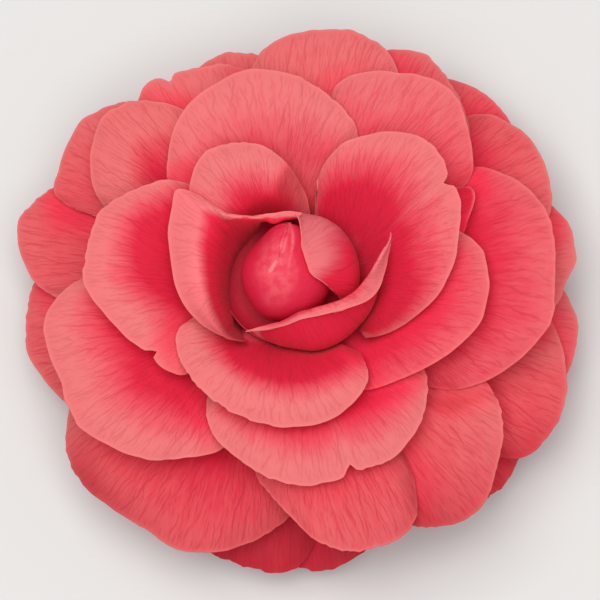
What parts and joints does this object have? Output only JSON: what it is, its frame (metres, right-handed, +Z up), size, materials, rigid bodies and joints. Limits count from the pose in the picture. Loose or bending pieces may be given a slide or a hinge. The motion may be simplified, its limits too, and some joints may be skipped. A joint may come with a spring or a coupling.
{
  "type": "camellia flower",
  "caption": "Double camellia bloom as picked, lying on its calyx with a closed bud at the heart and overlapping rounded petals around it.",
  "frame": {"origin": "centre of the flat round scar under the calyx, where the flower broke from its twig", "axes": "+Z up along the bloom's axis, from the calyx to the bud at the heart; +Y towards the side the bud's tip leans to"},
  "size_m": [0.0984, 0.0936, 0.0397],
  "materials": {
    "petal_heart": "satin",
    "petal_inner": "matte",
    "petal_outer": "matte",
    "calyx": "satin"
  },
  "bodies": {
    "root": {"calyx": "calyx", "heart_bud": "petal_heart", "petal_boat": "petal_heart", "petal_cup": "petal_heart", "petal_hood": "petal_heart", "petal_ring2_az020": "petal_inner", "petal_ring2_az110": "petal_inner", "petal_ring2_az180": "petal_inner", "petal_ring2_az258": "petal_inner", "petal_ring2_az337": "petal_inner", "petal_ring3_az022": "petal_inner", "petal_ring3_az053": "petal_inner", "petal_ring3_az102": "petal_inner", "petal_ring3_az212": "petal_inner", "petal_ring3_az280": "petal_inner", "petal_ring3_az357": "petal_inner", "petal_ring4_az008": "petal_outer", "petal_ring4_az030": "petal_outer", "petal_ring4_az055": "petal_outer", "petal_ring4_az080": "petal_outer", "petal_ring4_az116": "petal_outer", "petal_ring4_az139": "petal_outer", "petal_ring4_az236": "petal_outer", "petal_ring4_az282": "petal_outer", "petal_ring4_az312": "petal_outer", "petal_ring4_az338": "petal_outer", "petal_ring5_az046": "petal_outer", "petal_ring5_az106": "petal_outer", "petal_ring5_az141": "petal_outer", "petal_ring5_az164": "petal_outer", "petal_ring5_az190": "petal_outer", "petal_ring5_az258": "petal_outer", "petal_ring5_az278": "petal_outer", "petal_ring5_az317": "petal_outer", "petal_ring5_az349": "petal_outer", "petal_ring6_az005": "petal_outer", "petal_ring6_az020": "petal_outer", "petal_ring6_az075": "petal_outer", "petal_ring6_az125": "petal_outer", "petal_ring6_az190": "petal_outer", "petal_ring6_az245": "petal_outer", "petal_ring6_az320": "petal_outer"}
  },
  "joints": []
}
